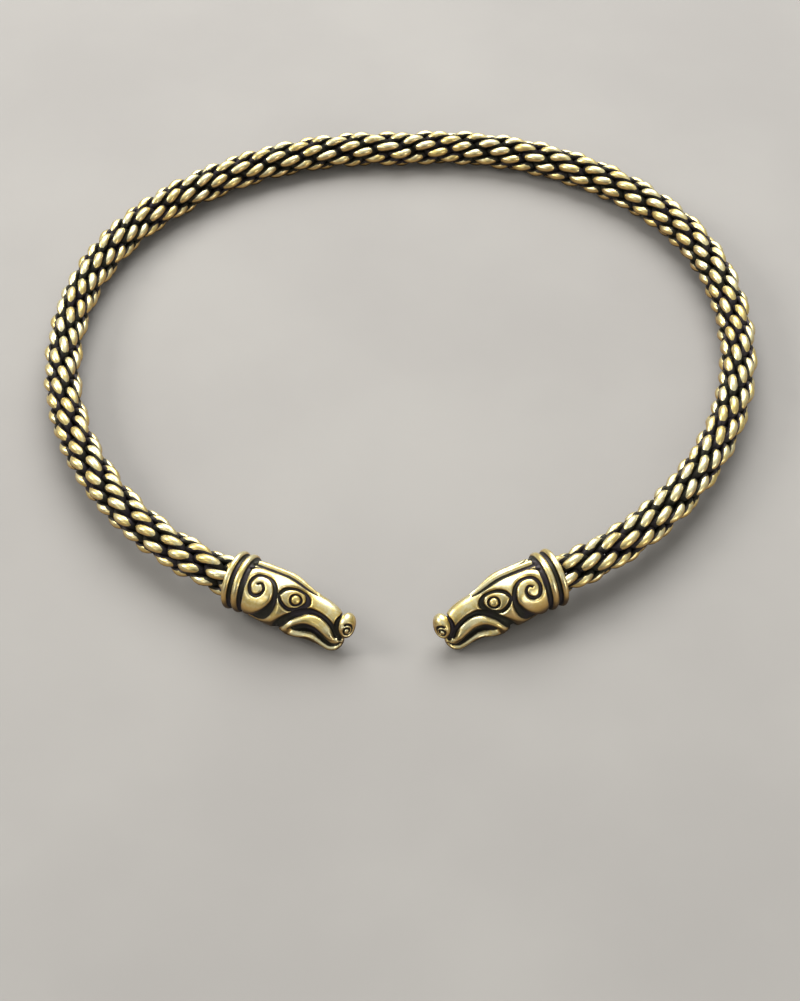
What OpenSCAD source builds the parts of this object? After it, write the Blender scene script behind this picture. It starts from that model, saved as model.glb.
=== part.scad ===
// A neck ring of braided bronze wire that ends in two cast beast heads.
// It lies flat: the ring goes round the Z axis, its back is at +Y, and the heads
// look at each other across the opening at the front.

/* [Ring] */
// Half of the ring's width, to the middle of the braid where it is widest
ring_half_w = 73.8; // [71:0.1:76]
// From the ring's centre to the middle of the braid at the back
ring_back_r = 67.7; // [66:0.1:70]
// From the ring's centre to the middle of the braid where it enters a head
ring_end_r = 66.9; // [65:0.1:69]
// How far round from the back the left head's collar sits, in degrees
left_at = 152.3; // [151:0.1:153]
// How far round from the back the right head's collar sits, in degrees
right_at = 153.4; // [153:0.1:155]

/* [Braid] */
// Diameter of the whole braid
braid_d = 8; // [7.6:0.1:8.2]
// Diameter of one strand of the four
strand_d = 3; // [2.6:0.1:3.1]
// Length of braid in which a strand goes once round
lay = 35; // [34:0.5:40]
// Rings of points along a strand
strand_rings = 96; // [80:1:100]

/* [Heads] */
// Diameter over the two rings of a collar
collar_d = 11.6; // [11.2:0.1:12]
// How far a head points forward of the X axis, in degrees
head_turn = 24; // [22:0.5:26]
// How far the left head's crest leans in over the ring, in degrees
left_lean = 35; // [30:1:38]
// How far the right head's crest leans in over the ring, in degrees
right_lean = 25; // [20:1:30]
// Length of a head in front of its collar
head_len = 22.15; // [22:0.05:24]
// Depth of the dark ground below the raised bands
relief = 0.75; // [0.5:0.05:0.8]

/* [Hidden] */
bronze = "goldenrod";
cast_bronze = "darkgoldenrod";

// The socket behind a collar takes the ends of the four strands.
socket_gap = 0.15;
socket_depth = 1.6;
collar_back = -0.5;
collar_front = 3.4;
collar_groove = 0.8;

// The two rings of a collar: station where each starts, and its width
COLLAR_RINGS = [[collar_back, 1.1], [1.6, 1.2]];

// The ring rests on its back and on the two lower jaws, which reach further down.
jaw_reach = 6.69;
jaw_y = -70.4;
rest_tilt = asin((jaw_reach - braid_d / 2) / (ring_back_r - jaw_y));
middle_y = 0.44;

// Middle of the braid: angle from the back, distance from the ring's centre
RING = [
    [0, ring_back_r],
    [30, (ring_back_r + ring_half_w) / 2 + 0.45],
    [60, ring_half_w],
    [90, ring_half_w - 2.2],
    [120, ring_half_w - 5],
    [right_at, ring_end_r]
];

// Outline of a head at stations from its collar to its nose:
// station, half breadth, top above the axis, bottom below the axis
HEAD = [
    [2.2, 5.0, 5.0, 5.0],
    [4.0, 5.3, 5.25, 5.5],
    [6, 5.45, 5.35, 5.9],
    [9, 5.4, 5.25, 6.1],
    [11, 5.1, 5.0, 6.3],
    [13, 4.5, 4.4, 6.6],
    [15, 3.5, 3.55, 6.8],
    [17, 2.7, 2.75, 6.7],
    [19.5, 2.4, 2.15, 6.9],
    [21.5, 2.15, 1.3, 7.1],
    [22.7, 1.8, 0.2, 6.9],
    [23.5, 1.6, -1.6, 6.5],
    [24.2, 1.2, -2.9, 5.7]
];
squareness = 2.2;

// Raised bands on the side of a head. Each row is a station along the head, the angle
// round it from the crest, the half width and the height above the dark ground.
BROW = [
    [4.4, 122, 0.2, 0.3],
    [4.4, 106, 0.45, 0.7],
    [4.35, 86, 0.4, 0.75],
    [4.3, 66, 0.4, 0.75],
    [4.45, 48, 0.4, 0.75],
    [5.1, 33, 0.5, 0.75],
    [6.6, 24, 0.75, 0.75],
    [8.7, 23, 0.8, 0.75],
    [10.4, 27, 1.0, 0.75],
    [11.8, 25, 0.85, 0.75],
    [13.4, 20, 0.6, 0.75],
    [14.8, 19, 0.5, 0.7],
    [16.0, 14, 0.2, 0.4]
];
EAR = [
    [6.7, 66, 0.3, 0.6],
    [6.0, 68, 0.4, 0.75],
    [5.6, 58, 0.4, 0.75],
    [6.1, 47, 0.4, 0.75],
    [7.4, 44, 0.45, 0.75],
    [8.6, 50, 0.5, 0.75],
    [9.0, 65, 0.55, 0.75],
    [8.7, 82, 0.65, 0.75],
    [7.6, 98, 0.8, 0.75],
    [6.3, 112, 0.7, 0.7],
    [5.3, 127, 0.3, 0.3]
];
CHEEK = [
    [10.6, 60, 0.15, 0.3],
    [10.9, 76, 0.4, 0.75],
    [11.1, 93, 0.75, 0.75],
    [10.4, 108, 0.8, 0.7],
    [9.1, 123, 0.6, 0.6],
    [7.6, 138, 0.2, 0.3]
];
CHEEK_TIP = [
    [11.0, 92, 0.6, 0.75],
    [12.3, 92, 0.4, 0.7],
    [13.3, 90, 0.15, 0.3]
];
EYELID = [
    [11.8, 61, 0.2, 0.4],
    [12.6, 48, 0.35, 0.7],
    [13.7, 39, 0.38, 0.75],
    [14.9, 41, 0.38, 0.75],
    [15.4, 54, 0.38, 0.75],
    [14.8, 68, 0.38, 0.75],
    [13.6, 73, 0.38, 0.75],
    [12.5, 71, 0.35, 0.7],
    [11.8, 61, 0.2, 0.4]
];
UPPER_LIP = [
    [12.8, 128, 0.35, 0.6],
    [13.2, 117, 0.5, 0.8],
    [14.3, 105, 0.55, 0.9],
    [15.5, 97, 0.6, 1.0],
    [17.0, 90, 0.65, 1.0],
    [18.8, 89, 0.65, 1.0],
    [20.5, 95, 0.6, 1.0],
    [22.0, 103, 0.55, 1.0],
    [23.1, 102, 0.45, 0.9],
    [23.9, 95, 0.3, 0.7]
];
LOWER_LIP = [
    [12.8, 137, 0.35, 0.6],
    [13.9, 146, 0.5, 0.9],
    [15.4, 143, 0.5, 1.0],
    [17.2, 134, 0.5, 1.0],
    [18.8, 134, 0.5, 1.0],
    [20.3, 144, 0.5, 1.0],
    [21.6, 154, 0.45, 0.9],
    [22.7, 160, 0.3, 0.7]
];
// The crest runs along the top: station, height of its ridge above the skin, half width
CREST = [
    [4.4, 0.0, 0.3],
    [5.8, 0.1, 0.6],
    [8.5, 0.12, 0.65],
    [11.0, 0.12, 0.65],
    [13.0, 0.15, 0.55],
    [15.0, 0.2, 0.4],
    [16.9, 0.0, 0.15]
];
// The bare bar of the snout: station, height of its middle, radius
SNOUT = [
    [13.8, 2.4, 1.0],
    [15.4, 1.85, 1.5],
    [17.2, 1.2, 1.5],
    [19.4, 0.75, 1.4],
    [21.4, 0.1, 1.25],
    [22.8, -0.6, 1.0]
];
// The nose is a ball with a curled nostril on each side
nose_at = [24.0, 0, -1.0];
nose_size = [3.1, 4.3, 5.1];
nostril_at = [24.7, 1.4, -1.5];
nostril_d = 1.5;
pupil_at = [14.05, 57];
pupil_d = 1.7;

// A smooth curve through rows of any columns, cut into even steps
function between(p, i, t) =
    let(a = p[max(i - 1, 0)], b = p[i], c = p[i + 1], d = p[min(i + 2, len(p) - 1)])
    0.5 * (2 * b + (c - a) * t + (2 * a - 5 * b + 4 * c - d) * t * t
        + (3 * b - a - 3 * c + d) * t * t * t);
function smooth_rows(p, steps) = [
    for (i = [0:len(p) - 2], k = [0:steps - 1]) between(p, i, k / steps),
    p[len(p) - 1]
];
function unit(v) = v / norm(v);

// A tube through points, with a closed section at each of them. Each section is a list of
// [side, up] offsets, ups give the upward direction at each point, and the ends are flat.
module sweep(points, ups, sections) {
    n = len(points);
    m = len(sections[0]);
    along = [for (i = [0:n - 1]) unit(points[min(i + 1, n - 1)] - points[max(i - 1, 0)])];
    side = [for (i = [0:n - 1]) unit(cross(ups[i], along[i]))];
    over = [for (i = [0:n - 1]) cross(along[i], side[i])];
    skin = [for (i = [0:n - 1], j = [0:m - 1])
        points[i] + sections[i][j][0] * side[i] + sections[i][j][1] * over[i]];
    polyhedron(
        points = skin,
        faces = concat(
            [[for (j = [0:m - 1]) j]],
            [for (i = [0:n - 2], j = [0:m - 1])
                [i * m + j, (i + 1) * m + j, i * m + (j + 1) % m]],
            [for (i = [0:n - 2], j = [0:m - 1])
                [(i + 1) * m + j, (i + 1) * m + (j + 1) % m, i * m + (j + 1) % m]],
            [[for (j = [m - 1:-1:0]) (n - 1) * m + j]]),
        convexity = 8);
}
function round_section(r, sides) =
    [for (j = [0:sides - 1]) r * [cos(360 * j / sides), sin(360 * j / sides)]];
function band_section(a, h) =
    [[a, -0.4], [0.65 * a, h], [-0.65 * a, h], [-a, -0.4]];

// Middle of the braid at an angle from the back, and the length of braid up to there
RING_CURVE = smooth_rows(RING, 8);
function ring_r(a) = lookup(abs(a), RING_CURVE);
function ring_point(a) = ring_r(a) * [sin(a), cos(a), 0];
STEP = 1.5;
function run(a) = a < 0 ? -run(-a) : lookup(a, RUNS);
RUNS = [for (a = 0, s = 0; a < 160;
    s = s + norm(ring_point(a + STEP) - ring_point(a)), a = a + STEP) [a, s]];

// One strand: a round wire rope that goes round the middle of the braid. Its sections
// stand square to it, and their up direction points away from the braid's middle. It runs
// past each collar's origin by its tuck, and its end stays clear of the socket's floor.
strand_off = (braid_d - strand_d) / 2;
strand_tuck = 0.1;
tuck_angle = strand_tuck / ring_end_r * 180 / PI;
strand_start = -left_at - tuck_angle;
strand_end = right_at + tuck_angle;
function strand_turn(a, k) = 90 * k + 20 - 360 * run(a) / lay;
function strand_up(a, k) =
    let(q = strand_turn(a, k)) [sin(a) * sin(q), cos(a) * sin(q), cos(q)];
module strand(k) {
    step = (strand_end - strand_start) / (strand_rings - 1);
    at = [for (i = [0:strand_rings - 1]) strand_start + i * step];
    sweep(
        [for (a = at) ring_point(a) + strand_off * strand_up(a, k)],
        [for (a = at) strand_up(a, k)],
        [for (a = at) round_section(strand_d / 2, 6)]);
}

// Skin of a head at a station and an angle round it from the crest, sunk by a depth
function head_row(u) = [for (k = [1:3]) lookup(u, [for (row = HEAD) [row[0], row[k]]])];
function head_skin(u, q, sink = 0) =
    let(
        row = head_row(u),
        half_w = row[0] - sink,
        half_h = (row[1] + row[2]) / 2 - sink,
        mid = (row[1] - row[2]) / 2,
        k = pow(pow(abs(cos(q)), squareness) + pow(abs(sin(q)), squareness), -1 / squareness))
    [u, half_w * k * sin(q), mid + half_h * k * cos(q)];
function skin_up(u, q) =
    unit(cross(head_skin(u + 0.2, q) - head_skin(u - 0.2, q),
        head_skin(u, q + 1) - head_skin(u, q - 1)));

// A raised band laid on the dark ground along the rows of a table
module band(rows, steps = 1) {
    path = smooth_rows(rows, steps);
    sweep(
        [for (p = path) head_skin(p[0], p[1], relief)],
        [for (p = path) skin_up(p[0], p[1])],
        [for (p = path) band_section(p[2], p[3])]);
}

// The head's core, from inside the collar to the tip of the muzzle
module core() {
    sides = 16;
    rows = [for (row = HEAD) row[0]];
    n = len(rows);
    polyhedron(
        points = [for (u = rows, j = [0:sides - 1]) head_skin(u, -360 * j / sides, relief)],
        faces = concat(
            [[for (j = [0:sides - 1]) j]],
            [for (i = [0:n - 2], j = [0:sides - 1])
                [i * sides + j, (i + 1) * sides + j, (i + 1) * sides + (j + 1) % sides]],
            [for (i = [0:n - 2], j = [0:sides - 1])
                [i * sides + j, (i + 1) * sides + (j + 1) % sides, i * sides + (j + 1) % sides]],
            [[for (j = [sides - 1:-1:0]) (n - 1) * sides + j]]),
        convexity = 4);
}

module crest() {
    path = smooth_rows(CREST, 1);
    sweep(
        [for (p = path) head_skin(p[0], 0, relief)],
        [for (p = path) [0, 0, 1]],
        [for (p = path) band_section(p[2], relief + p[1])]);
}

module snout() {
    path = smooth_rows(SNOUT, 1);
    sweep(
        [for (p = path) [p[0], 0, p[1]]],
        [for (p = path) [0, 0, 1]],
        [for (p = path) round_section(p[2], 12)]);
}

module nose() {
    translate(nose_at) resize(nose_size) sphere(d = 4, $fn = 12);
}

module pupil() {
    spot = head_skin(pupil_at[0], pupil_at[1], relief);
    translate(spot) sphere(d = pupil_d, $fn = 8);
}

module nostril() {
    translate(nostril_at) sphere(d = nostril_d, $fn = 9);
}

module side_relief() {
    band(BROW);
    band(EAR, 2);
    band(CHEEK);
    band(CHEEK_TIP);
    band(EYELID);
    band(UPPER_LIP, 2);
    band(LOWER_LIP, 2);
    pupil();
    nostril();
}

// Two raised rings with a groove after each, on a sleeve that the braid enters
module collar() {
    rotate([0, 90, 0]) rotate_extrude($fn = 40) difference() {
        union() {
            translate([0, collar_back])
                square([collar_d / 2 - collar_groove, collar_front - collar_back]);
            for (ring = COLLAR_RINGS) translate([0, ring[0]]) {
                square([(collar_d - ring[1]) / 2, ring[1]]);
                translate([collar_d - ring[1], ring[1]] / 2) circle(d = ring[1], $fn = 12);
            }
        }
        translate([0, collar_back - 1]) square([braid_d / 2 + socket_gap, socket_depth + 1]);
    }
}

// Collar and face are one casting, brought to its whole length together
module head_shape() {
    translate([collar_back, 0, 0]) resize([head_len + collar_front - collar_back, 0, 0])
        translate([-collar_back, 0, 0]) {
            collar();
            core();
            crest();
            snout();
            nose();
            side_relief();
            mirror([0, 1, 0]) side_relief();
        }
}

// A head at the right end of the braid, with its crest leaning in
module head(at, lean) {
    translate(ring_point(at)) rotate([0, 0, 180 + head_turn]) rotate([lean, 0, 0])
        head_shape();
}

// Everything is set down together, resting on the back of the braid and the jaws
module set_down() {
    lift = braid_d / 2 * cos(rest_tilt) + ring_back_r * sin(rest_tilt);
    translate([0, middle_y, lift]) rotate([-rest_tilt, 0, 0]) children();
}

module braid_strand(k) {
    color(bronze) set_down() strand(k);
}
module strand_1() { braid_strand(0); }
module strand_2() { braid_strand(1); }
module strand_3() { braid_strand(2); }
module strand_4() { braid_strand(3); }
module left_head() {
    color(cast_bronze) set_down() mirror([1, 0, 0]) head(left_at, left_lean);
}
module right_head() {
    color(cast_bronze) set_down() head(right_at, right_lean);
}

strand_1();
strand_2();
strand_3();
strand_4();
left_head();
right_head();
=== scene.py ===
"""A neck ring of braided bronze wire with two cast beast heads, lying on a pale floor."""

import math

import bmesh
import bpy
import numpy as np
from mathutils import Matrix, Vector


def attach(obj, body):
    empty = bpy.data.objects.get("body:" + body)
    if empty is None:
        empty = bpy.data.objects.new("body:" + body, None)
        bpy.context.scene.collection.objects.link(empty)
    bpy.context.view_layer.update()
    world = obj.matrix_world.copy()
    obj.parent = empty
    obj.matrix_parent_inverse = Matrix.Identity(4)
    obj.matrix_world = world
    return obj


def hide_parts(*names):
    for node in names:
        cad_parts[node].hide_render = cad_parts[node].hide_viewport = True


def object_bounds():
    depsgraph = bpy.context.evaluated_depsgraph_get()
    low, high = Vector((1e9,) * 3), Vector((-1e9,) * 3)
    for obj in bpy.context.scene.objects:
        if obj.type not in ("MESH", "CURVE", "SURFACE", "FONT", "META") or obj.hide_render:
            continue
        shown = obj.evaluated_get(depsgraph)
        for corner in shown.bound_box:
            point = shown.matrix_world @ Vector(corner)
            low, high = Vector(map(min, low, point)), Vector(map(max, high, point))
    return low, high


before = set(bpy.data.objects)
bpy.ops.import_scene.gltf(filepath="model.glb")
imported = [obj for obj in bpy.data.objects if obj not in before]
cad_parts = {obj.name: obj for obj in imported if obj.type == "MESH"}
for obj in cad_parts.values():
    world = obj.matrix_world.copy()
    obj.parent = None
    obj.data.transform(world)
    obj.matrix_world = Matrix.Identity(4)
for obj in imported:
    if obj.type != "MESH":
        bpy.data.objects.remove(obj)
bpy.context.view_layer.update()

MM = 0.001

# Sizes, which repeat the part's source, in millimetres and degrees
RING_HALF_W = 73.8
RING_BACK_R = 67.7
RING_END_R = 66.9
LEFT_AT = 152.3
RIGHT_AT = 153.4
BRAID_D = 8.0
STRANDS = 4
LAY = 35.0
STRAND_TUCK = 0.1
STRAND_PHASE = 20.0
COLLAR_D = 11.6
COLLAR_BACK = -0.5
COLLAR_FRONT = 3.4
COLLAR_GROOVE = 0.8
SLEEVE_END = 4.6
SOCKET_R = BRAID_D / 2 + 0.15
SOCKET_DEPTH = 1.6
HEAD_TURN = 24.0
LEFT_LEAN = 35.0
RIGHT_LEAN = 25.0
HEAD_LEN = 22.15
MUZZLE_TIP = 25.55
JAW_REACH = 6.69
JAW_Y = -70.4
MIDDLE_Y = 0.44

# Middle line of the braid: angle round the ring from the nape, and radius
RING = [
    [0, RING_BACK_R],
    [30, (RING_BACK_R + RING_HALF_W) / 2 + 0.45],
    [60, RING_HALF_W],
    [90, RING_HALF_W - 2.2],
    [120, RING_HALF_W - 5],
    [RIGHT_AT, RING_END_R],
]

# Outline of a head: station, half breadth, top above the axis, bottom below the axis
HEAD = [
    [3.4, 4.5, 4.6, 4.6],
    [4.0, 5.3, 4.95, 5.5],
    [6, 5.45, 4.9, 5.9],
    [9, 5.4, 4.8, 6.1],
    [11, 5.1, 4.65, 6.3],
    [13, 4.5, 4.15, 6.6],
    [15, 3.5, 3.4, 6.8],
    [17, 2.7, 2.75, 6.7],
    [19.5, 2.4, 2.15, 6.9],
    [21.5, 2.15, 1.3, 7.1],
    [22.6, 1.8, 0.2, 6.9],
    [23.2, 1.6, -1.6, 6.5],
    [23.6, 1.3, -2.9, 5.9],
    [23.9, 0.8, -3.5, 5.2],
]
# 2 gives round cross sections, and more gives squarer ones
SQUARENESS = 2.2
# Rings of the collar: station where one starts, and its width
COLLAR_RINGS = [[COLLAR_BACK, 1.25], [1.5, 1.5]]


# Curves
def smooth_rows(rows, steps):
    """A smooth curve through rows of any columns, with as many steps from each to the next."""
    rows = np.asarray(rows, float)
    padded = np.vstack([rows[:1], rows, rows[-1:]])
    a, b, c, d = (padded[i : i + len(rows) - 1, None] for i in range(4))
    t = np.linspace(0, 1, steps, endpoint=False)[None, :, None]
    curve = 0.5 * (
        2 * b
        + (c - a) * t
        + (2 * a - 5 * b + 4 * c - d) * t**2
        + (3 * b - a - 3 * c + d) * t**3
    )
    return np.vstack([curve.reshape(-1, rows.shape[1]), rows[-1:]])


def unit(v):
    return v / np.linalg.norm(v, axis=-1, keepdims=True)


def along(points):
    """Unit direction of a line of points at each of them."""
    return unit(np.gradient(points, axis=0))


def trig(degrees):
    radians = np.radians(degrees)
    return np.cos(radians), np.sin(radians)


# Mesh tools
MERGE_DIST = 1e-4


def roll_up(rings):
    """A closed tube over rings of points: a grid rolled up, its seam merged and its ends filled."""
    count, sides = rings.shape[:2]
    bm = bmesh.new()
    bmesh.ops.create_grid(bm, x_segments=sides, y_segments=count - 1, size=1)
    places = np.concatenate([rings, rings[:, :1]], axis=1).reshape(-1, 3)
    for vert, place in zip(bm.verts, places):
        vert.co = place
    bmesh.ops.remove_doubles(bm, verts=bm.verts, dist=MERGE_DIST)
    rims = [edge for edge in bm.edges if edge.is_boundary]
    bmesh.ops.holes_fill(bm, edges=rims, sides=0)
    bmesh.ops.recalc_face_normals(bm, faces=bm.faces)
    return bm


def joined(shapes):
    """One bmesh out of several, which are freed."""
    whole = bmesh.new()
    for shape in shapes:
        passing = bpy.data.meshes.new("passing")
        shape.to_mesh(passing)
        shape.free()
        whole.from_mesh(passing)
        bpy.data.meshes.remove(passing)
    return whole


def new_piece(name, bm):
    mesh = bpy.data.meshes.new(name)
    bm.to_mesh(mesh)
    bm.free()
    piece = bpy.data.objects.new(name, mesh)
    bpy.context.scene.collection.objects.link(piece)
    return piece


def applied(piece, kind, **settings):
    """The piece's mesh with one modifier applied to it."""
    modifier = piece.modifiers.new(kind.title(), kind)
    for key, value in settings.items():
        setattr(modifier, key, value)
    depsgraph = bpy.context.evaluated_depsgraph_get()
    mesh = bpy.data.meshes.new_from_object(piece.evaluated_get(depsgraph))
    piece.modifiers.clear()
    return mesh


def softened(piece, rounds):
    """The piece's mesh, smoothed as many times as that."""
    return applied(piece, "SMOOTH", factor=0.5, iterations=rounds)


def places_of(mesh):
    co = np.empty(len(mesh.vertices) * 3, np.float32)
    mesh.vertices.foreach_get("co", co)
    return co.reshape(-1, 3).astype(float)


def normals_of(mesh):
    normals = np.empty(len(mesh.vertices) * 3, np.float32)
    mesh.vertex_normals.foreach_get("vector", normals)
    return normals.reshape(-1, 3).astype(float)


def place_all(mesh, points):
    mesh.vertices.foreach_set("co", points.astype(np.float32).ravel())
    mesh.update()


def mark(mesh, name, values):
    """A number on each vertex, which the metal's finish reads."""
    attribute = mesh.attributes.new(name, "FLOAT", "POINT")
    attribute.data.foreach_set("value", values.astype(np.float32))


def shade_smooth(mesh):
    mesh.polygons.foreach_set("use_smooth", [True] * len(mesh.polygons))


# How the ring rests: on the back of the braid and on the two jaws
rest_tilt = math.degrees(math.asin((JAW_REACH - BRAID_D / 2) / (RING_BACK_R - JAW_Y)))
tilt_cos, tilt_sin = trig(rest_tilt)
lift = BRAID_D / 2 * tilt_cos + RING_BACK_R * tilt_sin


def turned(degrees, axis):
    return Matrix.Rotation(math.radians(degrees), 4, axis)


# From the ring's own frame, in millimetres, to the floor, in millimetres and in metres
AT_REST = Matrix.Translation((0, MIDDLE_Y, lift)) @ turned(-rest_tilt, "X")
SET_DOWN = Matrix.Scale(MM, 4) @ AT_REST


def put(mesh, matrix):
    """Moves a mesh, and turns its faces outwards again where the move mirrors it."""
    mesh.transform(matrix)
    if matrix.determinant() < 0:
        mesh.flip_normals()
    mesh.update()


# The braid
ring_curve = smooth_rows(RING, steps=24)


def ring_points(a):
    """Points of the braid's middle line at angles round the ring from the nape."""
    r = np.interp(np.abs(a), ring_curve[:, 0], ring_curve[:, 1])
    c, s = trig(a)
    return np.stack([r * s, r * c, 0 * r], axis=-1)


WIRE_D = 1.92
# From the middle of a strand to that of its wires, and from the middle of the braid to that
# of its strands
PAIR_OFF = 0.9
STRAND_OFF = 2.2
# Turns of the two wires round each other in one lay of the braid
PAIR_TURNS = 5.85
HALF_TURNS = (0, 180)
WIRE_RINGS = 1440
WIRE_SIDES = 14
# Polish starts this far from a neighbouring wire, is full past the second distance, and
# narrows to a point as the wire sinks from the braid's surface. The dark where it sinks is partly
# patina and partly painted shade.
CREVICE = (0.2, 0.48)
SUNK_DEPTH = 0.8
NARROWING = 2.2
PROUD_RANGE = (-1, 1.5)
# Rings of a neighbouring wire that can be the nearest to a point
RINGS_NEARBY = range(-14, 15, 2)
# Made by hand, so the strands and the twist in each swing about by some degrees, over these
# lengths, each from a start of its own
STRAND_WANDER = 4.0
STRAND_STARTS = 1.3
PAIR_WANDER = 22.0
PAIR_STARTS = 2.1
PAIR_FIRST_START = 0.7
WANDER_RUNS = (7.3, 4.1, 1.9)

tuck = math.degrees(STRAND_TUCK / RING_END_R)
braid_a = np.linspace(-LEFT_AT - tuck, RIGHT_AT + tuck, WIRE_RINGS)
braid_middle = ring_points(braid_a)
braid_steps = np.linalg.norm(np.diff(braid_middle, axis=0), axis=1)
braid_run = np.concatenate([[0], np.cumsum(braid_steps)])
braid_run -= np.interp(0, braid_a, braid_run)


def wander(start):
    """An uneven swing along the braid, between -1 and 1."""
    swings = [np.sin(braid_run / run + start * (n + 1)) for n, run in enumerate(WANDER_RUNS)]
    return sum(swings) / len(swings)


def strand_out(k):
    """Directions from the braid's middle to the middle of a strand."""
    ca, sa = trig(braid_a)
    swing = STRAND_WANDER * wander(STRAND_STARTS * k)
    cq, sq = trig(360 / STRANDS * k + STRAND_PHASE - 360 * braid_run / LAY + swing)
    return np.stack([sa * sq, ca * sq, cq], axis=-1)


def wire_line(k, half_turn):
    """The middle of one of the two wires that are twisted together as a strand."""
    out = strand_out(k)
    strand = braid_middle + STRAND_OFF * out
    beside = unit(np.cross(along(strand), out))
    over = np.cross(beside, along(strand))
    swing = PAIR_WANDER * wander(PAIR_STARTS * k + PAIR_FIRST_START)
    cb, sb = trig(half_turn - 360 * PAIR_TURNS * braid_run / LAY + swing)
    return strand + PAIR_OFF * (cb[:, None] * over + sb[:, None] * beside)


wire_lines = {(k, half): wire_line(k, half) for k in range(STRANDS) for half in HALF_TURNS}


def clearance(points, own):
    """How far each point of a wire lies from the nearest other wire's surface."""
    flat = np.degrees(np.arctan2(points[:, 0], points[:, 1]))
    here = np.interp(flat, braid_a, np.arange(WIRE_RINGS)).round().astype(int)
    nearest = np.full(len(points), np.inf)
    for key, line in wire_lines.items():
        if key == own:
            continue
        for shift in RINGS_NEARBY:
            gap = points - line[np.clip(here + shift, 0, WIRE_RINGS - 1)]
            nearest = np.minimum(nearest, (gap**2).sum(1))
    return np.sqrt(nearest) - WIRE_D / 2


def round_wire(k, half_turn):
    """A round wire, marked where it stands clear of its neighbours."""
    line = wire_lines[k, half_turn]
    heading = along(line)
    side = unit(np.cross(heading, strand_out(k)))
    top = np.cross(side, heading)
    cw, sw = trig(np.arange(WIRE_SIDES) * 360 / WIRE_SIDES)
    rings = line[:, None] + WIRE_D / 2 * (
        cw[None, :, None] * side[:, None] + sw[None, :, None] * top[:, None]
    )
    wire = new_piece("wire", roll_up(rings))
    points = places_of(wire.data)
    off = points - ring_points(np.degrees(np.arctan2(points[:, 0], points[:, 1])))
    depth = np.linalg.norm(off, axis=1) / (BRAID_D / 2)
    # Dark where the wire sinks into the braid: partly patina, partly painted shade
    sunk = np.clip((1 - depth) / (1 - SUNK_DEPTH), 0, None)
    clear = (clearance(points, (k, half_turn)) - CREVICE[0]) / (CREVICE[1] - CREVICE[0])
    mark(wire.data, "proud", np.clip(clear - NARROWING * sunk, *PROUD_RANGE))
    return wire


def braid_wires(k):
    """Two round wires twisted together, as one of the four strands of the braid."""
    whole = bmesh.new()
    for half_turn in HALF_TURNS:
        wire = round_wire(k, half_turn)
        whole.from_mesh(wire.data)
        bpy.data.objects.remove(wire)
    piece = new_piece(f"strand_{k + 1}_wires", whole)
    shade_smooth(piece.data)
    put(piece.data, SET_DOWN)
    return piece


# The heads
HEAD_STATIONS = 160
HEAD_SIDES = 120
head_rows = smooth_rows(HEAD, steps=10)


def head_skin(u, q):
    """Points of a head's skin at stations and at angles round it from the crest."""
    half_w, top, bottom = (np.interp(u, head_rows[:, 0], head_rows[:, k]) for k in (1, 2, 3))
    c, s = trig(q)
    k = (np.abs(c) ** SQUARENESS + np.abs(s) ** SQUARENESS) ** (-1 / SQUARENESS)
    middle = (top - bottom) / 2
    return np.stack([u + 0 * q, half_w * k * s, middle + (top + bottom) / 2 * k * c], axis=-1)


def head_body():
    stations = np.linspace(HEAD[0][0], HEAD[-1][0], HEAD_STATIONS)
    angles = np.arange(HEAD_SIDES) * 360 / HEAD_SIDES
    return roll_up(head_skin(stations[:, None], angles[None, :]))


COLLAR_SIDES = 120
# The foot of a collar's ring, which leans a little, and the points over its rounded crown
RING_FOOT = 0.05
CROWN_POINTS = 17


def collar():
    """Two raised rings on a sleeve, with the braid's socket behind."""
    sleeve_r = COLLAR_D / 2 - COLLAR_GROOVE
    outline = [(COLLAR_BACK + SOCKET_DEPTH, 0.0), (COLLAR_BACK + SOCKET_DEPTH, SOCKET_R)]
    outline.append((COLLAR_BACK, SOCKET_R))
    for start, width in COLLAR_RINGS:
        crown_r = (COLLAR_D - width) / 2
        foot = 0 if start == COLLAR_BACK else RING_FOOT
        outline.append((start - foot, sleeve_r))
        for turn in np.linspace(0, 180, CROWN_POINTS):
            c, s = trig(turn)
            outline.append((start + width / 2 * (1 - c), crown_r + width / 2 * s))
        outline.append((start + width + RING_FOOT, sleeve_r))
    outline += [(SLEEVE_END, sleeve_r), (SLEEVE_END, 0.0)]
    bm = bmesh.new()
    verts = [bm.verts.new((u, 0, r)) for u, r in outline]
    edges = [bm.edges.new(pair) for pair in zip(verts, verts[1:])]
    bmesh.ops.spin(
        bm,
        geom=verts + edges,
        cent=(0, 0, 0),
        axis=(1, 0, 0),
        angle=math.tau,
        steps=COLLAR_SIDES,
        use_merge=True,
    )
    bmesh.ops.remove_doubles(bm, verts=bm.verts, dist=MERGE_DIST)
    bmesh.ops.recalc_face_normals(bm, faces=bm.faces)
    return bm


def ball(middle, size):
    bm = bmesh.new()
    bmesh.ops.create_uvsphere(bm, u_segments=48, v_segments=24, radius=0.5)
    bmesh.ops.scale(bm, vec=size, verts=bm.verts)
    bmesh.ops.translate(bm, vec=middle, verts=bm.verts)
    return bm


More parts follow.
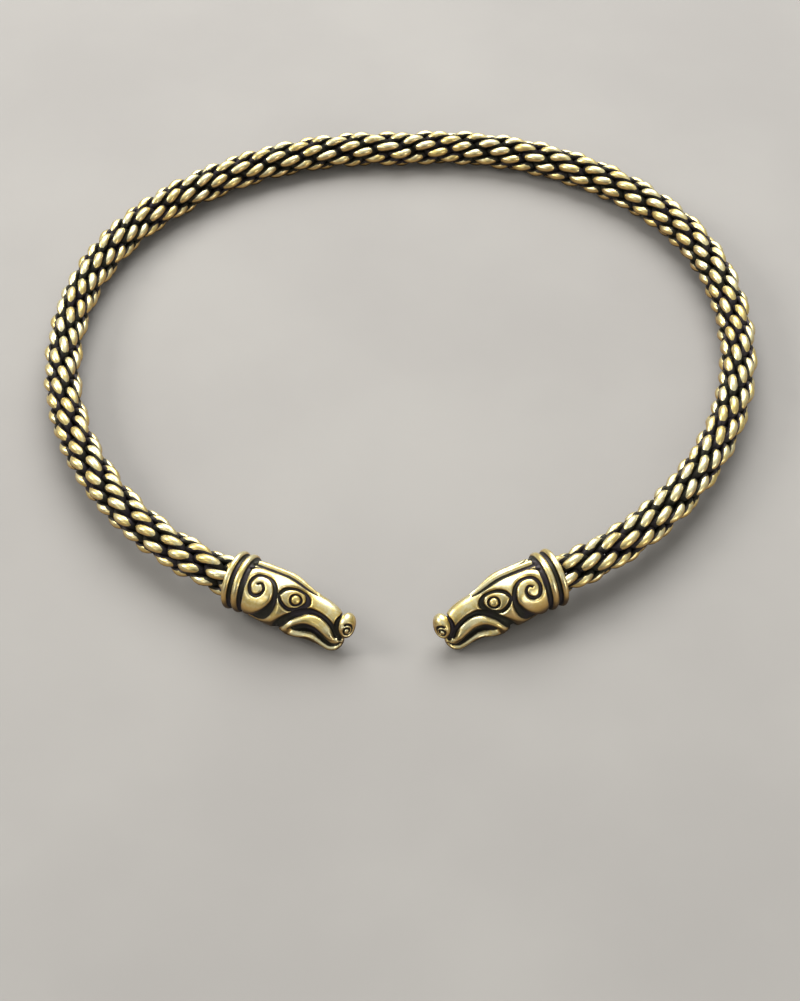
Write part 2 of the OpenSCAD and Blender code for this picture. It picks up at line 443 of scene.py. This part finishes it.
# Cuts and ridges on the side of a head. Each row is a station, the angle round the head
# from the crest, the half width, and the depth, below nought where metal stands proud.
CREST_GROOVE = [
    [3.9, 12, 0.42, 0.5],
    [5.4, 11, 0.46, 0.6],
    [7.5, 10.5, 0.46, 0.64],
    [10.5, 10.5, 0.45, 0.64],
    [12.6, 11, 0.42, 0.6],
    [14.3, 12, 0.36, 0.54],
    [15.8, 12, 0.28, 0.42],
    [17.0, 9, 0.18, 0.25],
]
CREST_FORK = [
    [3.6, 30, 0.2, 0.5],
    [4.6, 21, 0.2, 0.5],
    [6.0, 14, 0.18, 0.4],
    [7.2, 11, 0.15, 0.3],
]
EAR_SPIRAL = [
    [3.9, 157, 0.5, 0.6],
    [5.0, 152, 0.75, 0.75],
    [6.3, 144, 0.92, 0.85],
    [7.6, 131, 1.0, 0.95],
    [8.9, 114, 0.95, 1.0],
    [9.8, 97, 0.8, 1.0],
    [10.25, 80, 0.6, 0.95],
    [10.2, 64, 0.5, 0.85],
    [9.8, 53, 0.45, 0.8],
    [9.1, 42, 0.4, 0.75],
    [8.0, 35, 0.38, 0.7],
    [6.6, 34, 0.38, 0.7],
    [5.5, 39, 0.38, 0.7],
    [4.8, 52, 0.38, 0.7],
    [4.7, 66, 0.38, 0.7],
    [5.3, 79, 0.38, 0.7],
    [6.3, 82, 0.34, 0.65],
    [7.35, 74, 0.3, 0.6],
    [7.7, 62, 0.27, 0.55],
    [7.0, 53, 0.24, 0.5],
    [6.2, 57, 0.2, 0.42],
]
EYE_ROUND = [
    [10.8, 62, 0.3, 0.6],
    [11.5, 47, 0.36, 0.75],
    [12.7, 36, 0.36, 0.75],
    [14.1, 30, 0.36, 0.7],
    [15.4, 31, 0.4, 0.75],
    [16.1, 44, 0.5, 0.8],
    [16.05, 59, 0.52, 0.85],
    [14.9, 74, 0.42, 0.8],
    [13.5, 82, 0.38, 0.8],
    [12.4, 80, 0.36, 0.75],
    [11.4, 72, 0.33, 0.7],
    [10.8, 62, 0.3, 0.6],
]
UNDER_SNOUT = [
    [10.7, 172, 0.45, 0.5],
    [10.7, 158, 0.55, 0.65],
    [11.0, 144, 0.65, 0.75],
    [11.6, 130, 0.8, 0.9],
    [12.5, 115, 0.85, 1.0],
    [13.7, 98, 0.75, 1.05],
    [15.0, 83, 0.75, 1.1],
    [16.7, 70, 0.65, 1.1],
    [18.4, 66, 0.5, 1.0],
    [20.4, 69, 0.48, 0.9],
    [21.9, 77, 0.52, 0.9],
    [22.8, 90, 0.5, 0.85],
]
NOSE_GROOVE = [
    [22.5, 0, 0.17, 0.35],
    [22.5, 24, 0.2, 0.45],
    [22.35, 45, 0.27, 0.6],
    [22.3, 62, 0.35, 0.7],
    [22.6, 76, 0.4, 0.75],
    [23.3, 78, 0.35, 0.7],
    [24.0, 74, 0.3, 0.6],
]
MOUTH = [
    [14.9, 123, 0.75, 1.1],
    [15.7, 119, 0.92, 1.35],
    [16.6, 115, 0.95, 1.45],
    [18.0, 113, 0.82, 1.35],
    [19.4, 118, 0.7, 1.2],
    [20.7, 127, 0.58, 1.1],
    [22.0, 134, 0.5, 1.0],
    [22.9, 131, 0.42, 0.9],
    [23.7, 120, 0.36, 0.7],
]
UPPER_LIP = [
    [13.0, 132, 0.85, -0.4],
    [13.1, 123, 0.75, -0.4],
    [13.9, 112, 0.72, -0.4],
    [15.5, 100, 0.85, -0.35],
    [17.0, 93, 0.85, -0.35],
    [18.8, 91, 0.8, -0.35],
    [20.4, 96, 0.7, -0.35],
    [21.6, 102, 0.58, -0.3],
    [22.6, 104, 0.45, -0.15],
    [23.4, 104, 0.35, 0.0],
]
LOWER_LIP = [
    [13.0, 132, 0.85, -0.4],
    [13.4, 140, 0.6, -0.4],
    [14.3, 142, 0.45, -0.4],
    [15.6, 139, 0.42, -0.35],
    [17.2, 131, 0.42, -0.35],
    [18.8, 131, 0.42, -0.35],
    [20.3, 140, 0.42, -0.35],
    [21.6, 149, 0.4, -0.3],
    [22.7, 155, 0.35, -0.1],
]
CREST = [
    [3.8, 0, 0.45, -0.2],
    [5.0, 0, 0.48, -0.35],
    [9.0, 0, 0.48, -0.38],
    [13.0, 0, 0.45, -0.35],
    [15.4, 0, 0.36, -0.28],
    [17.2, 0, 0.2, -0.05],
]
# Station and angle of the eye's middle, and a short step ahead and down from there
EYE = (14.05, 57)
EYE_STEPS = (0.2, 3.0)
PUPIL_R = 0.85
PUPIL_RISE = 0.35
EYE_RING_R = 1.1
EYE_RING_POINTS = 72
# Half width and depth
EYE_RING_CUT = (0.2, 0.45)
NOSTRIL_CUT = (0.21, 0.45)
NOSE_AT = (23.85, 0, -1.4)
NOSE_SIZE = (3.4, 4.5, 5.1)
NOSTRIL_TOWARDS = (0.93, 1.67, -0.5)
NOSTRIL_POINTS = 160
# Turn, from ahead through up, and radius
NOSTRIL_CURL = [
    [-120, 1.75],
    [-90, 1.65],
    [0, 1.35],
    [90, 1.0],
    [180, 0.88],
    [270, 0.75],
    [380, 0.5],
]


def on_skin(rows):
    """A table's curve as close points on the skin, each with its half width and depth."""
    curve = smooth_rows(rows, steps=24)
    return np.hstack([head_skin(curve[:, 0], curve[:, 1]), curve[:, 2:]])


def as_cut(points, cut):
    """A line of points with one half width and depth all along it."""
    return np.hstack([points, np.tile(cut, (len(points), 1))])


def eye_ring():
    """The dark ring round the pupil, laid on the skin."""
    station, angle = EYE
    here = head_skin(station, angle)
    ahead = unit(head_skin(station + EYE_STEPS[0], angle) - here)
    down = unit(head_skin(station, angle + EYE_STEPS[1]) - here)
    down = unit(down - ahead * (down @ ahead))
    c, s = trig(np.arange(EYE_RING_POINTS) * 360 / EYE_RING_POINTS)
    return as_cut(here + EYE_RING_R * (c[:, None] * ahead + s[:, None] * down), EYE_RING_CUT)


def nostril_curl():
    """A groove that winds in to the nostril, laid round the ball of the nose."""
    size = np.array(NOSE_SIZE) / 2
    towards = unit(np.array(NOSTRIL_TOWARDS) / size)
    nostril = towards * size
    outward = unit(towards / size)
    ahead = unit(np.array([1.0, 0, 0]) - outward * outward[0])
    above = np.cross(outward, ahead)
    turn = np.linspace(NOSTRIL_CURL[0][0], NOSTRIL_CURL[-1][0], NOSTRIL_POINTS)
    r = np.interp(turn, *np.transpose(NOSTRIL_CURL))
    c, s = trig(turn)
    curl = nostril + (r * c)[:, None] * ahead + (r * s)[:, None] * above
    return as_cut(unit(curl / size) * size + NOSE_AT, NOSTRIL_CUT)


def reach(points, line):
    """Each point's distance from the line, in half widths there, and the line's depth there."""
    flat = line[:, :3]
    gap = (points**2).sum(1)[:, None] + (flat**2).sum(1)[None] - 2 * points @ flat.T
    share = np.maximum(gap, 0) / line[:, 3] ** 2
    nearest = share.argmin(1)
    return np.sqrt(share[np.arange(len(points)), nearest]), line[nearest, 4]


RIDGES = (UPPER_LIP, LOWER_LIP, CREST)
CUTS = (CREST_GROOVE, CREST_FORK, EAR_SPIRAL, EYE_ROUND, UNDER_SNOUT, NOSE_GROOVE, MOUTH)
# How flat a ridge's crown and a cut's floor are, and how sharply its patina ends
RIDGE_FLATNESS = 4
CUT_FLATNESS = 5
PATINA_SHARPNESS = 8
# The depth from which a cut is black
BLACK_DEPTH = 0.4


def carve(points, normals):
    """Moves points by the head's cuts and ridges, and says how dark each cut leaves them."""
    mirrored = points * [1, 0, 1] + np.abs(points) * [0, 1, 0]
    raised = np.zeros(len(points))
    for table in RIDGES:
        x, depth = reach(mirrored, on_skin(table))
        raised = np.maximum(raised, -depth / (1 + x**RIDGE_FLATNESS))
    x = np.linalg.norm(mirrored - head_skin(*EYE), axis=1) / PUPIL_R
    raised = np.maximum(raised, PUPIL_RISE * np.sqrt(np.clip(1 - x**2, 0, 1)))
    sunk = np.zeros(len(points))
    dark = np.zeros(len(points))
    for line in [on_skin(table) for table in CUTS] + [eye_ring(), nostril_curl()]:
        x, depth = reach(mirrored, line)
        sunk = np.maximum(sunk, depth / (1 + x**CUT_FLATNESS))
        black = np.clip(depth / BLACK_DEPTH, 0, 1)
        dark = np.maximum(dark, 1 / (1 + x**PATINA_SHARPNESS) * black)
    return points + normals * (raised - sunk)[:, None], dark


VOXEL = 0.135
# Rounds of smoothing before the cuts, which melt the forms together, and after them
MELT_ROUNDS = 3
WEAR_ROUNDS = 1
# The sleeve between the collar's rings is never polished, inside this radius and these stations
SLEEVE_DARK_R = 5.5
SLEEVE_DARK_FADE = 0.12
SLEEVE_DARK = (COLLAR_BACK + 0.25, 4.1)
# Hollows of the cast surface, which darken it by this depth, past a little that doesn't count
HOLLOW_ROUNDS = 60
HOLLOW_SPARE = 0.02
HOLLOW_DEPTH = 0.14


def cast_head():
    """The cast head in its own frame, with its axis along X and its crest up."""
    rough = new_piece("rough_head", joined([head_body(), collar(), ball(NOSE_AT, NOSE_SIZE)]))
    rough.data = applied(rough, "REMESH", mode="VOXEL", voxel_size=VOXEL)
    rough.data = softened(rough, MELT_ROUNDS)
    points, dark = carve(places_of(rough.data), normals_of(rough.data))
    from_axis = np.linalg.norm(points[:, 1:], axis=1)
    on_sleeve = (points[:, 0] > SLEEVE_DARK[0]) & (points[:, 0] < SLEEVE_DARK[1])
    sleeve_dark = np.clip((SLEEVE_DARK_R - from_axis) / SLEEVE_DARK_FADE, 0, 1)
    dark = np.maximum(dark, sleeve_dark * on_sleeve)
    place_all(rough.data, points)
    rough.data = softened(rough, WEAR_ROUNDS)
    points = places_of(rough.data)
    worn_down = places_of(softened(rough, HOLLOW_ROUNDS))
    proud = ((points - worn_down) * normals_of(rough.data)).sum(1)
    hollow = np.minimum(proud + HOLLOW_SPARE, 0) / HOLLOW_DEPTH
    mark(rough.data, "proud", 1 + hollow - dark)
    shade_smooth(rough.data)
    return rough


def put_head(name, source, reach_round, lean, side):
    """A copy of the cast head at one end of the braid."""
    piece = bpy.data.objects.new(name, source.data.copy())
    bpy.context.scene.collection.objects.link(piece)
    stretch = (HEAD_LEN + COLLAR_FRONT - COLLAR_BACK) / (MUZZLE_TIP - COLLAR_BACK)
    lengthened = (
        Matrix.Translation((COLLAR_BACK, 0, 0))
        @ Matrix.Diagonal((stretch, 1, 1, 1))
        @ Matrix.Translation((-COLLAR_BACK, 0, 0))
    )
    at = ring_points(reach_round)
    put(
        piece.data,
        SET_DOWN
        @ Matrix.Diagonal((side, 1, 1, 1))
        @ Matrix.Translation(at)
        @ turned(180 + HEAD_TURN, "Z")
        @ turned(lean, "X")
        @ lengthened,
    )
    return piece


# Materials
# Where a Mix node takes its share and its two colours, and where it gives the mixed one
MIX_SHARE, MIX_LOW, MIX_HIGH, MIXED = 0, 6, 7, 2


class Shade:
    """A socket of a material, so that its maths reads as plain expressions."""

    def __init__(self, tree, socket=None):
        self.tree = tree
        self.socket = socket

    def node(self, kind, settings=None, inputs=None, out=0):
        """A new node with its settings, then its inputs, as one of its outputs."""
        made = self.tree.nodes.new(kind)
        for key, value in (settings or {}).items():
            if key == "stops":
                ramp = made.color_ramp
                while len(ramp.elements) < len(value):
                    ramp.elements.new(0.5)
                for element, (position, tint) in zip(ramp.elements, value):
                    element.position = position
                    element.color = tint
            else:
                setattr(made, key, value)
        for key, value in (inputs or {}).items():
            if isinstance(value, Shade):
                self.tree.links.new(value.socket, made.inputs[key])
            else:
                made.inputs[key].default_value = value
        return Shade(self.tree, made.outputs[out] if made.outputs else None)

    def maths(self, operation, *values):
        settings = {"operation": operation}
        return self.node("ShaderNodeMath", settings, dict(enumerate(values)))

    def __add__(self, other):
        return self.maths("ADD", self, other)

    def __radd__(self, other):
        return self.maths("ADD", other, self)

    def __sub__(self, other):
        return self.maths("SUBTRACT", self, other)

    def __rsub__(self, other):
        return self.maths("SUBTRACT", other, self)

    def __mul__(self, other):
        return self.maths("MULTIPLY", self, other)

    def __rmul__(self, other):
        return self.maths("MULTIPLY", other, self)

    def between(self, low, high):
        """0 at low, 1 at high, and a smooth step between them."""
        settings = {"interpolation_type": "SMOOTHSTEP"}
        return self.node(
            "ShaderNodeMapRange", settings, {"Value": self, "From Min": low, "From Max": high}
        )

    def blend(self, low, high):
        """The low colour where this number is 0, the high one where it is 1."""
        settings = {"data_type": "RGBA", "clamp_factor": True}
        inputs = {MIX_SHARE: self, MIX_LOW: low, MIX_HIGH: high}
        return self.node("ShaderNodeMix", settings, inputs, out=MIXED)


def colour(r, g, b):
    return (r, g, b, 1.0)


def blank(holder):
    """The emptied nodes of a material or of the world."""
    holder.use_nodes = True
    holder.node_tree.nodes.clear()
    return Shade(holder.node_tree)


PATINA = colour(0.028, 0.027, 0.018)
DUSK_PATINA = colour(0.038, 0.031, 0.037)
WORN_GOLD = colour(0.88, 0.82, 0.50)
WARM_GOLD = colour(0.76, 0.60, 0.22)
# Painted shade: ochre for the faces turned away from up
LOWER_SHADE_GOLD = colour(0.56, 0.34, 0.11)
# Painted shade: umber brown for the faces turned down
UNDERSIDE_SHADE = colour(0.15, 0.085, 0.032)
PALE_FLOOR = (colour(0.30, 0.29, 0.275), colour(0.33, 0.32, 0.302))

# How much the fine and the broad grain and a face's turn downwards shift the edge of the polish;
# the turn downwards is painted shade
FINE_WEAR = 0.35
BROAD_WEAR = 0.3
UNDER_SHADE_SHIFT = 0.25
POLISH_EDGE = 0.16
# How much the broad grain shifts where a face counts as turned down, for the painted shade
UP_SHIFT = 0.7
# Scratches run long, so their grain is squeezed one way
SCRATCH_STRETCH = (1, 1, 6)
RELIEF_HEIGHT = 0.00006


def grain(start, place, scale, detail=3.0, roughness=0.5):
    return start.node(
        "ShaderNodeTexNoise",
        None,
        {"Vector": place, "Scale": scale, "Detail": detail, "Roughness": roughness},
    )


def bronze(name, edge, roughness, lower_shade_span, under_shade_span):
    """Bronze, polished where it stands proud and near black in its recesses.

    Ochre and umber are ranges of how far up a face looks, over which the metal turns from gold.
    This is painted shade: the faces turned down are painted darker and less polished.
    """
    material = bpy.data.materials.new(name)
    start = blank(material)
    place = start.node("ShaderNodeTexCoord", out="Object")
    proud = start.node("ShaderNodeAttribute", {"attribute_name": "proud"}, out="Fac")
    fine = grain(start, place, scale=1400.0)
    broad = grain(start, place, scale=160.0, detail=4.0)
    facing = start.node("ShaderNodeNewGeometry", out="Normal")
    upwards = start.node("ShaderNodeSeparateXYZ", None, {0: facing}, out="Z")
    upwards = upwards + (broad - 0.5) * UP_SHIFT
    # Painted shade: faces turned away from up are painted ochre, and faces turned down umber brown
    low = upwards.between(*lower_shade_span)
    under_shade = upwards.between(*under_shade_span)
    # Painted shade: faces turned down lose polish and are painted darker, beside the real wear
    worn_and_shaded = proud + (fine - 0.5) * FINE_WEAR + (broad - 0.5) * BROAD_WEAR - under_shade * UNDER_SHADE_SHIFT
    shaded_polish = worn_and_shaded.between(edge - POLISH_EDGE, edge + POLISH_EDGE) * (1 - under_shade * 0.5)
    gold = (broad * 0.6 + fine * 0.4).between(0.4, 0.6).blend(WORN_GOLD, WARM_GOLD)
    metal = (under_shade * 0.9).blend((low * 0.9).blend(gold, LOWER_SHADE_GOLD), UNDERSIDE_SHADE)
    patina = broad.between(0.42, 0.62).blend(PATINA, DUSK_PATINA)
    squeezed = start.node("ShaderNodeMapping", None, {0: place, "Scale": SCRATCH_STRETCH})
    scratches = grain(start, squeezed, scale=2600.0, detail=2.0)
    relief = {
        "Strength": 0.25,
        "Distance": RELIEF_HEIGHT,
        "Height": broad * 0.5 + scratches * 0.25 + fine * 0.25,
    }
    finish = {
        "Base Color": shaded_polish.blend(patina, metal),
        "Metallic": shaded_polish * 0.3 + 0.7,
        "Roughness": roughness - shaded_polish * 0.15 + (fine - 0.5) * 0.16 + under_shade * 0.15,
        "Normal": start.node("ShaderNodeBump", None, relief),
    }
    shader = start.node("ShaderNodeBsdfPrincipled", None, finish)
    start.node("ShaderNodeOutputMaterial", None, {"Surface": shader})
    return material


def floor_finish():
    material = bpy.data.materials.new("pale_floor")
    start = blank(material)
    place = start.node("ShaderNodeTexCoord", out="Object")
    clouds = grain(start, place, scale=14.0, detail=5.0).between(0.3, 0.7)
    finish = {"Base Color": clouds.blend(*PALE_FLOOR), "Roughness": 0.85}
    shader = start.node("ShaderNodeBsdfPrincipled", None, finish)
    start.node("ShaderNodeOutputMaterial", None, {"Surface": shader})
    return material


# Pieces
braid_bronze = bronze(
    "braid_bronze", edge=0.4, roughness=0.5, lower_shade_span=(0.7, 0.15), under_shade_span=(0.0, -0.45)
)
cast_bronze = bronze(
    "cast_bronze", edge=0.5, roughness=0.48, lower_shade_span=(0.7, 0.2), under_shade_span=(0.28, -0.1)
)

for k in range(STRANDS):
    wires = braid_wires(k)
    wires.data.materials.append(braid_bronze)
    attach(wires, "root")
    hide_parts(f"strand_{k + 1}")

pattern = cast_head()
for name, *seat in (
    ("left_head", LEFT_AT, LEFT_LEAN, -1),
    ("right_head", RIGHT_AT, RIGHT_LEAN, 1),
):
    head = put_head(name + "_cast", pattern, *seat)
    head.data.materials.append(cast_bronze)
    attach(head, "root")
    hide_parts(name)
bpy.data.objects.remove(pattern)

# Floor and light
# So wide that its edge stays near the horizon in the low views
FLOOR_HALF = 50.0
floor_bm = bmesh.new()
bmesh.ops.create_grid(floor_bm, x_segments=8, y_segments=8, size=FLOOR_HALF)
bmesh.ops.translate(floor_bm, vec=(0, 0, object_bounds()[0][2]), verts=floor_bm.verts)
floor = new_piece("floor", floor_bm)
floor.data.materials.append(floor_finish())


def lamp(name, place, aim, size, power, tint, spread=180):
    light = bpy.data.lights.new(name, "AREA")
    light.shape = "DISK"
    light.size = size
    light.energy = power
    light.spread = math.radians(spread)
    light.color = tint
    holder = bpy.data.objects.new(name, light)
    bpy.context.scene.collection.objects.link(holder)
    holder.location = place
    holder.rotation_euler = (Vector(aim) - Vector(place)).to_track_quat("-Z", "Y").to_euler()


lamp("sky_light", (0.05, 0.5, 0.65), (0, -0.02, 0), size=0.8, power=9.0, tint=(1.0, 0.99, 0.98))
lamp("side_light", (-0.6, 0.05, 0.45), (0, -0.03, 0), size=0.3, power=2.5, tint=(1.0, 0.97, 0.93))
# The fills light the sides of the heads that face the camera. Their narrow fan keeps their own
# pools of light off the floor.
FILL = {"size": 0.25, "tint": (1.0, 0.96, 0.86), "spread": 50}
lamp("left_fill", (-0.32, -0.38, 0.2), (-0.04, -0.06, 0), power=0.025, **FILL)
lamp("right_fill", (0.34, -0.38, 0.14), (0.04, -0.06, 0), power=0.05, **FILL)

# The dome of the studio is brightest on one side of the sky, and fades from there
SKY_SIDE = (0.0, 0.4, 0.92)
DOME = [
    (0.0, colour(0.14, 0.135, 0.13)),
    (0.2, colour(0.38, 0.37, 0.35)),
    (0.5, colour(0.92, 0.9, 0.87)),
    (1.0, colour(1.12, 1.12, 1.12)),
]
world = bpy.data.worlds.new("studio")
bpy.context.scene.world = world
sky = blank(world)
looking = sky.node("ShaderNodeTexCoord", out="Generated")
to_side = {"operation": "DOT_PRODUCT"}
nearness = sky.node("ShaderNodeVectorMath", to_side, {0: looking, 1: SKY_SIDE}, out="Value")
dome = sky.node("ShaderNodeValToRGB", {"stops": DOME}, {0: nearness})
background = sky.node("ShaderNodeBackground", None, {"Color": dome, "Strength": 0.65})
sky.node("ShaderNodeOutputWorld", None, {"Surface": background})

# Camera, set to the photograph's angle in the ring's own frame, in millimetres and degrees
VIEW_ELEVATION = 50.0
VIEW_ROLL = -2.6
VIEW_TURN = -2.2
VIEW_DISTANCE = 377.3
VIEW_AIM = Vector((-1.19, -40.04, 0))
VIEW_LENS = 68.33
SENSOR = 36.0
NEAREST_SEEN = 0.01

camera_data = bpy.data.cameras.new("camera")
camera_data.lens = VIEW_LENS
camera_data.sensor_width = SENSOR
camera_data.sensor_height = SENSOR
camera_data.sensor_fit = "AUTO"
camera = bpy.data.objects.new("camera", camera_data)
bpy.context.scene.collection.objects.link(camera)
view_cos, view_sin = trig(VIEW_ELEVATION)
roll_cos, roll_sin = trig(VIEW_ROLL)
forward = Vector((0, view_cos, -view_sin))
level = Vector((1, 0, 0))
upward = level.cross(forward)
right = level * roll_cos + upward * roll_sin
top = upward * roll_cos - level * roll_sin
stand = VIEW_AIM - forward * VIEW_DISTANCE
frame_matrix = Matrix((right, top, -forward)).transposed().to_4x4()
frame_matrix.translation = stand
seen_from = AT_REST @ turned(-VIEW_TURN, "Z") @ frame_matrix
seen_from.translation = seen_from.translation * MM
camera.matrix_world = seen_from
camera_data.clip_start = NEAREST_SEEN
bpy.context.scene.camera = camera
bpy.context.scene.view_settings.view_transform = "Standard"
